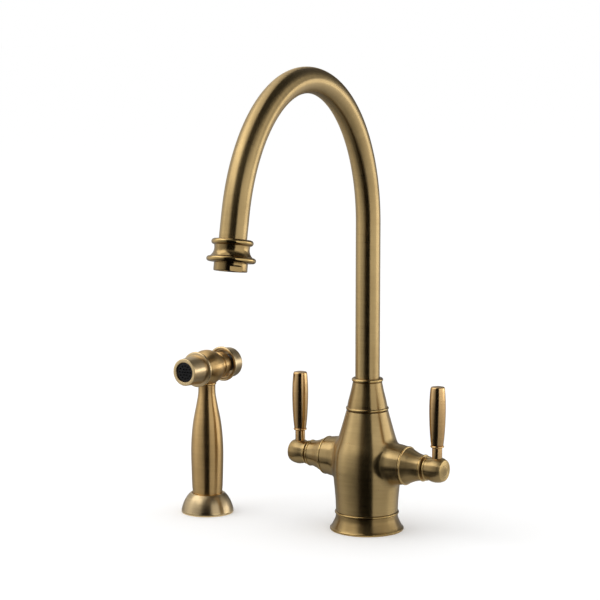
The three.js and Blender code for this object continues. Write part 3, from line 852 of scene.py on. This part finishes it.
class FAUCET_OT_holder(bpy.types.Operator):
    """Turn the side spray's bell-shaped holder and its nylon lining"""

    bl_idname = "faucet.holder"
    bl_label = "Spray holder"

    def execute(self, context):
        hole = HOLDER_SHANK_R + SEAM
        bell = turned([
            (hole, 1.5), (19, 1.5), (19, 0, 0.2), (HOLDER_R, 0, 0.5), (HOLDER_R, 2, 0.3),
            *flow([(23.9, 4.2), (22.6, 8.2), (20.8, 12.1), (18.5, 15.6), (16.3, 17.9)], 30),
            (15.4, HOLDER_TOP, 0.4), (14.3, HOLDER_TOP, 0.3), (14.3, 15.6), (12, 15.6), (12, 13.2),
            (hole, 13.2),
        ])
        make("holder_bell", bell, SPRAY, "base", "spray_holder", "bell_brass",
             [(HOLDER_R, 1, 2.0), (15, HOLDER_TOP, 1.6)])
        liner = small([(10.8, 13.4), (11.7, 13.4), (11.7, 15.9), (14, 15.9), (14, 17.3, 0.3),
                       (10.8, 17.3, 0.3)])
        make("holder_lining", liner, SPRAY, "base", "holder_liner", "nylon")
        return {"FINISHED"}


class FAUCET_OT_handset(bpy.types.Operator):
    """Turn the side spray's handle, its ball head, its nose and its black face"""

    bl_idname = "faucet.handset"
    bl_label = "Hand spray"

    def execute(self, context):
        self.handle()
        self.head()
        nose = turned([
            (8.5, 13.9), (15, 13.9), *bead(15.2, 15.25, 1.3), (13.45, 16.6, 0.15),
            *flow([(13.35, 17.4), (12.9, 26), (12.5, 34)], 10),
            (12.4, 35, 0.5), (9.3, 35, 0.4), (9.3, 31.3), (8.5, 31.3),
        ])
        make("spray_nose", nose, HEAD, "handset", "nozzle_nose", "pale_brass",
             [(16.5, 15.25, 1.8), (12.3, 35, 1.4), (9.4, 35, 0.8)])
        face = perforated(radius=9, low=31.6, high=34.2, lip=0.6, hole=0.6,
                          rings=((1, 0), (6, 2.9), (12, 5.9)))
        make("spray_plate", face, HEAD, "handset", "spray_face", "black_plastic")
        return {"FINISHED"}

    def handle(self):
        """The swelling handle that stands in the holder, and the ring at its top."""
        grip = turned([
            (7.4, 2.5, 0.3), (10.4, 2.5, 0.5), (10.4, 17.6), (13.7, 17.6, 0.5),
            *flow([(13.78, 19.4), (14.3, 26), (14.8, 42), (15.05, 57), (14.55, 71), (12.9, 86.5),
                   (9.95, 101.7), (8.15, 112.5), (8, 120.2)], 60),
            (8, 120.7, 0.2), (5, 120.7), (5, 19.7), (7.4, 19.7),
        ])
        make("spray_handle", grip, SPRAY, "handset", "spray_grip", "spray_brass",
             [(13.7, 17.8, 1.0)])
        band = small([(4.3, 121), (7.9, 121), *bead(7.9, 122, 1), (4.3, 123)])
        make("handle_band", band, SPRAY, "handset", "grip_ring", "spray_brass",
             [(8.9, 122, 1.8)])

    def head(self):
        """The ball, flat where it meets the ring, with its rear neck and its waterway."""
        neck = 11.1
        edge = degrees(acos(neck / HEAD_R))
        ball = turned([
            (7, 20), (8.2, 20), (8.2, 13.6), (neck, 13.6),
            *arc(0, 0, HEAD_R, edge, -edge, 40),
            (neck, -14.9), (12, -15.3, 0.3), (11.7, -22.3, 0.5), (10.2, -22.6), (10.2, -26, 0.4),
            (2.9, -26), (2.9, -9), (7, -9), (7, 5), (4.6, 5), (4.6, 8), (7, 8),
        ])
        block = 60
        under = bmesh.new()
        bmesh.ops.create_cube(under, size=block * MM, matrix=SPRAY @ place(z=HEAD_FLAT - block / 2))
        way = moved(small(plug(4, 122, HEAD_Z - 2)), SPRAY)
        ball = carved(moved(ball, HEAD), "DIFFERENCE", under, way)
        make("spray_ball", ball, HEAD, "handset", "spray_head", "spray_brass", placed=True)


class FAUCET_OT_button(bpy.types.Operator):
    """Turn the cup-shaped thumb button behind the spray's head and coil its return spring"""

    bl_idname = "faucet.button"
    bl_label = "Thumb button"

    def execute(self, context):
        cup = turned([
            (0, -35.5), (2.8, -35.5), (2.8, -31), (4.3, -31), (4.3, -36), (12.9, -36, 0.5),
            (12.9, -25.6),
            *arc(15, -24.9, 1.35, 210, -70, 20),
            (14.25, -26.6), (14.1, -36.6), (13.9, -38, 0.9), (9, -38.35), (0, -38.5),
        ])
        make("button_cup", cup, HEAD, "button", "thumb_button", "pale_brass",
             [(16.35, -24.9, 2.2), (13.9, -38, 1.2)])
        self.spring(radius=7.4, wire=0.55, turns=4, front=-26.9, back=-35.4)
        return {"FINISHED"}

    def spring(self, radius, wire, turns, front, back):
        """The coil stands on the head's neck and is pressed together by the cup."""
        steps = 24 * turns
        coil = bmesh.new()
        bmesh.ops.create_circle(coil, cap_ends=False, segments=12, radius=wire * MM,
                                matrix=place(radius, 0, front) @ tilt(90, "X"))
        bmesh.ops.spin(coil, geom=coil.verts[:] + coil.edges[:], cent=(0, 0, 0), axis=(0, 0, 1),
                       dvec=(0, 0, (back - front) / steps * MM), angle=tau * turns,
                       steps=steps, use_duplicate=False)
        bmesh.ops.holes_fill(coil, edges=coil.edges[:], sides=0)
        piece = make("return_spring", outward(coil), HEAD, "handset", "button_spring", "steel")
        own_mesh(piece)


# ---- fixings under the deck

def threaded(bore, radius, low, high, thread_to, pitch=1.5):
    """A tube with thread crests turned on its lower part."""
    depth = 0.55
    line = [(bore, low, 0.3), (radius - depth, low)]
    z = low + 0.6
    while z < thread_to:
        line += [(radius - depth, z), (radius, z + pitch * 0.4), (radius, z + pitch * 0.55)]
        z += pitch
    line += [(radius - depth, z), (radius, z + 0.6), (radius, high, 0.3), (bore, high, 0.3)]
    return turned(line, 96)


def hexagon(flats, hole, low, high):
    """A hexagon nut with its corners turned off."""
    corner = flats / 2 / cos(pi / 6)
    chamfer = (corner - flats / 2) * 0.8
    prism = bmesh.new()
    bmesh.ops.create_cone(prism, cap_ends=True, segments=6, radius1=corner * MM,
                          radius2=corner * MM, depth=(high - low) * MM,
                          matrix=place(z=(low + high) / 2) @ tilt(30, "Z"))
    bmesh.ops.bevel(prism, geom=prism.edges[:], offset=0.3 * MM, offset_type="OFFSET", segments=2,
                    profile=0.5, affect="EDGES", material=-1)
    turning = turned([
        (hole, low - 1), (corner - chamfer, low - 1), (corner - chamfer, low),
        (corner + 1, low + chamfer), (corner + 1, high - chamfer), (corner - chamfer, high),
        (corner - chamfer, high + 1), (hole, high + 1),
    ], 96)
    return carved(prism, "INTERSECT", turning)


class FAUCET_OT_fixings(bpy.types.Operator):
    """Make the shanks, washers and nuts that clamp the faucet and the holder to the deck"""

    bl_idname = "faucet.fixings"
    bl_label = "Fixings"

    def execute(self, context):
        hole, little, metal = SHANK_R + SEAM, HOLDER_SHANK_R + SEAM, "turned_brass"
        made = [
            ("shank", threaded(SHANK_BORE, SHANK_R, SHANK_END, 40, 8), "mounting_shank", metal),
            ("rubber_washer", turned(tube(hole, 27, -33, -30)), "deck_washer_rubber", "rubber"),
            ("steel_washer", turned(tube(hole, 26, -35.3, -33.3, 0.25)), "deck_washer_steel",
             "steel"),
            ("big_nut", hexagon(44, hole, -46, -35.6), "mounting_nut", metal),
            ("foot_gasket", turned(tube(SHANK_R + 1, 28.7, 0, 1.7, 0.3)), "base_gasket", "rubber"),
            ("holder_seal", small(tube(13.6, 18.7, 0, 1.2, 0.3)), "holder_gasket", "rubber"),
            ("spray_shank", threaded(10.9, HOLDER_SHANK_R, -50, 12.9, 2, 1.2), "holder_shank",
             metal),
            ("spray_washer", small(tube(little, 21, -32, -30, 0.25)), "holder_washer", "steel"),
            ("small_nut", hexagon(34, little, -40.3, -32.3), "holder_nut", metal),
        ]
        for name, bm, node, look in made:
            make(name, bm, SPRAY if node.startswith("holder") else UPRIGHT, "base", node, look)
        return {"FINISHED"}


class FAUCET_OT_inner_parts(bpy.types.Operator):
    """Give every solid that is carried over from the frame its own finish"""

    bl_idname = "faucet.inner_parts"
    bl_label = "Inner parts"

    def execute(self, context):
        for part in frame["record"]["subparts"]:
            node = frame["nodes"][part["node"]]
            look = part["material_slot"]
            node.data.materials.clear()
            node.data.materials.append(finish("raw_brass" if look.startswith("aged") else look))
        return {"FINISHED"}


# ---- stage

CAMERA_AZIMUTH = 33.6       # degrees from straight in front towards +X
CAMERA_PITCH = 7.58         # degrees downwards
CAMERA_LENS = 120
CAMERA_AT = Vector((929.7, -1508.8, 444.6))

NEAR, FAR = 1.5, 3.0        # distance of the cloths, in metres
CLOTH_TOP = 3.4
DARK = 0.006

# upright cloths: distance, lower and upper edge, and (angle from the camera, shade) with white 1
WALLS = (
    ("front_cloth", FAR, 0, CLOTH_TOP, ((-32, DARK), (19, DARK))),
    ("low_fade", NEAR, 0, 1.15, ((-88, 0.95), (-70, 0.63), (-50, 0.45), (-30, 0.10))),
    ("high_fade", NEAR, 1.15, CLOTH_TOP, ((-41, 0.95), (-29, 0.05))),
    ("right_back_shade", FAR, 0.8, CLOTH_TOP, ((88, 0.6), (110, 0.34), (140, 0.10), (165, 0.06))),
    ("right_back", FAR, 0, 0.8, ((115, 0.85), (140, 0.32), (165, 0.08))),
    ("back", FAR, 0, 1.5, ((165, 0.10), (180, 0.38), (200, 0.46), (235, 0.65), (265, 0.95))),
    ("back_high", FAR, 1.5, CLOTH_TOP,
     ((165, 0.20), (180, 0.45), (200, 0.52), (235, 0.70), (265, 0.95))),
)
# shades of the floor and the ceiling by angle, or by distance from the middle in metres
FLOOR_TURN = ((19, 0.8), (50, 0.85), (70, 1), (110, 1.05), (130, 0.85), (150, 0.5), (170, 0.35),
              (210, 0.4), (230, 0.5), (250, 0.85), (270, 0.9), (290, 0.55), (310, 0.3), (330, 0.10))
FLOOR_REACH = ((0, 0.12), (0.05, 0.36), (0.1, 0.52), (0.15, 0.46), (0.22, 0.36), (0.37, 0.5),
               (0.57, 0.62), (0.85, 0.72), (1.25, 0.95))
CEILING = ((0.9, 0.04), (1.3, 0.15), (1.7, 0.4))
CEILING_BACK = ((175, 0), (195, 0.5))


def white_world(world, fill):
    """White to the camera and in reflections, and a plain level of light on everything else."""
    world.node_tree.nodes.clear()
    tree = Nodes(world.node_tree)
    path = tree.add("LightPath", {})
    seen = path["Is Camera Ray"]
    for ray in ("Is Glossy Ray", "Is Transmission Ray"):
        seen = tree.math("MAXIMUM", seen, path[ray])
    light = tree.add("Background", {
        "Color": (1, 1, 1, 1), "Strength": tree.ramp(seen, 0, 1, fill, 1.0)})
    tree.add("OutputWorld", {"Surface": light[0]})


def around_camera(turn, distance, height):
    """A spot at an angle from the camera's own direction, positive to the camera's right."""
    angle = radians(CAMERA_AZIMUTH + turn)
    return Vector((distance * sin(angle), -distance * cos(angle), height))


def soft_box(name, spot, aim, width, height, power):
    lamp = bpy.data.lights.new(name, "AREA")
    lamp.shape = "RECTANGLE"
    lamp.size, lamp.size_y, lamp.energy = width, height, power
    box = bpy.data.objects.new(name, lamp)
    bpy.context.scene.collection.objects.link(box)
    box.location = spot
    box.rotation_mode = "QUATERNION"
    box.rotation_quaternion = (Vector(aim) - spot).to_track_quat("-Z", "Y")


def set_piece(name, bm, material):
    piece = new_object(name, bm)
    piece.data.materials.append(material)
    return piece


def cloth(name, turns, reaches, at, shade, cells=(14, 6)):
    """A grey cloth beside the set, which only the metal sees, graded along both its ways."""
    bm = bmesh.new()
    bmesh.ops.create_grid(bm, x_segments=cells[0], y_segments=cells[1], size=1)
    grey = bm.verts.layers.float.new("shade")
    half = max(vert.co.x for vert in bm.verts)
    for vert in bm.verts:
        turn = turns[0] + (turns[1] - turns[0]) * (vert.co.x / half + 1) / 2
        reach = reaches[0] + (reaches[1] - reaches[0]) * (vert.co.y / half + 1) / 2
        vert[grey] = shade(turn, reach)
        vert.co = at(turn, reach)
    material = bpy.data.materials.get("grey_cloth")
    if not material:
        material, tree, shader = new_material("grey_cloth")
        tree.feed(shader, {
            "Roughness": 1.0, "Specular IOR Level": 0.0, "Base Color": (0, 0, 0, 1),
            "Emission Color": (1, 1, 1, 1), "Emission Strength": tree.attribute("shade", "Fac")})
    piece = set_piece(name, bm, material)
    piece.visible_camera = piece.visible_shadow = piece.visible_diffuse = False


def steps_of(table):
    """A shade that follows a table of (place, shade)."""
    places, shades = zip(*table)
    return lambda at: float(np.interp(at, places, shades))


def wall(name, distance, low, high, table):
    """An upright cloth round part of the set, graded by its angle from the camera."""
    shade = steps_of(table)
    cloth(name, (table[0][0], table[-1][0]), (low, high),
          lambda turn, z: around_camera(turn, distance, z), lambda turn, z: shade(turn))


def lying(name, spot, turns, height, shade):
    """A cloth on the floor round a spot; its rows lie closer together near the spot."""
    centre = Vector((spot[0], spot[1], 0))
    cloth(name, turns, (0.1, sqrt(FAR)),
          lambda turn, root: centre + around_camera(turn, root * root, height),
          lambda turn, root: shade(turn, root * root), cells=(20, 24))


class FAUCET_OT_stage(bpy.types.Operator):
    """Set the pale floor, the plain world, the soft boxes, the grey cloths and the camera"""

    bl_idname = "faucet.stage"
    bl_label = "Studio"

    def execute(self, context):
        scene = context.scene
        studio = scene.faucet_studio
        bm = bmesh.new()
        bmesh.ops.create_grid(bm, x_segments=1, y_segments=1, size=60)
        material, tree, shader = new_material("pale_floor")
        where = tree.where()
        reach = tree.add("VectorMath", {0: where}, operation="LENGTH")["Value"]
        near = tree.mixed(tree.noise(where, 6.0), (0.95, 0.95, 0.95), (0.97, 0.97, 0.97))
        tree.feed(shader, {
            "Roughness": 0.9, "Specular IOR Level": 0.0,
            "Base Color": tree.mixed(tree.ramp(reach, 0.5, 3.0), near, (1.0, 1.0, 1.0))})
        set_piece("floor", bm, material)

        scene.world = bpy.data.worlds.new("studio")
        scene.world.use_nodes = True
        white_world(scene.world, studio.fill)
        aim = (0, -0.05, 0.2)
        soft_box("left_box", around_camera(-83, 1.75, 1.85), aim, 2.4, 1.4, studio.left_box)
        soft_box("right_box", around_camera(100, 1.7, 0.2), aim, 1.2, 0.7, studio.right_box)

        for row in WALLS:
            wall(*row)
        floor_turn, floor_reach = steps_of(FLOOR_TURN), steps_of(FLOOR_REACH)
        lying("carpet", (0, 0), (16, 330), 0.0008,
              lambda turn, reach: floor_turn(turn) * floor_reach(reach))
        lying("front_carpet", (0, 0), (-30, 16), 0.0012, lambda turn, reach: DARK)
        lying("spray_carpet", SPRAY_AT * MM, (-18, 17), 0.0015, lambda turn, reach: DARK)
        ceiling, ceiling_back = steps_of(CEILING), steps_of(CEILING_BACK)
        cloth("ceiling_cloth", (-30, 200), (0.01, 1.7),
              lambda turn, reach: around_camera(turn, reach, 1.4),
              lambda turn, reach: ceiling(reach) + ceiling_back(turn))

        lens = bpy.data.cameras.new("camera")
        lens.lens, lens.sensor_width = CAMERA_LENS, 36
        lens.clip_start, lens.clip_end = 0.05, 60
        camera = bpy.data.objects.new("camera", lens)
        scene.collection.objects.link(camera)
        camera.location = CAMERA_AT * MM
        camera.rotation_euler = (radians(90 - CAMERA_PITCH), 0, radians(CAMERA_AZIMUTH))
        scene.camera = camera
        scene.view_settings.view_transform = "Standard"
        return {"FINISHED"}


# ---- panel and registration

STEPS = (
    FAUCET_OT_inner_parts, FAUCET_OT_foot, FAUCET_OT_body, FAUCET_OT_valves, FAUCET_OT_handles,
    FAUCET_OT_spout, FAUCET_OT_outlet, FAUCET_OT_holder, FAUCET_OT_handset, FAUCET_OT_button,
    FAUCET_OT_fixings, FAUCET_OT_stage,
)
GROUPS = {"faucet_finish": FaucetFinish, "faucet_sizes": FaucetSizes, "faucet_studio": FaucetStudio}


class FAUCET_PT_panel(bpy.types.Panel):
    """Lists the faucet's steps and settings"""

    bl_idname = "FAUCET_PT_panel"
    bl_label = "Kitchen faucet"
    bl_space_type = "VIEW_3D"
    bl_region_type = "UI"
    bl_category = "Faucet"

    def draw(self, context):
        for name, group in GROUPS.items():
            box = self.layout.box()
            settings = getattr(context.scene, name)
            for key in group.__annotations__:
                box.prop(settings, key)
        for step in STEPS:
            self.layout.operator(step.bl_idname)


CLASSES = (*GROUPS.values(), *STEPS, FAUCET_PT_panel)


def register():
    for kind in CLASSES:
        bpy.utils.register_class(kind)
    for name, group in GROUPS.items():
        setattr(bpy.types.Scene, name, PointerProperty(type=group))


def unregister():
    for name in GROUPS:
        delattr(bpy.types.Scene, name)
    for kind in reversed(CLASSES):
        bpy.utils.unregister_class(kind)


def main():
    register()
    for step in STEPS:
        group, name = step.bl_idname.split(".")
        getattr(getattr(bpy.ops, group), name)()


if __name__ == "__main__":
    main()
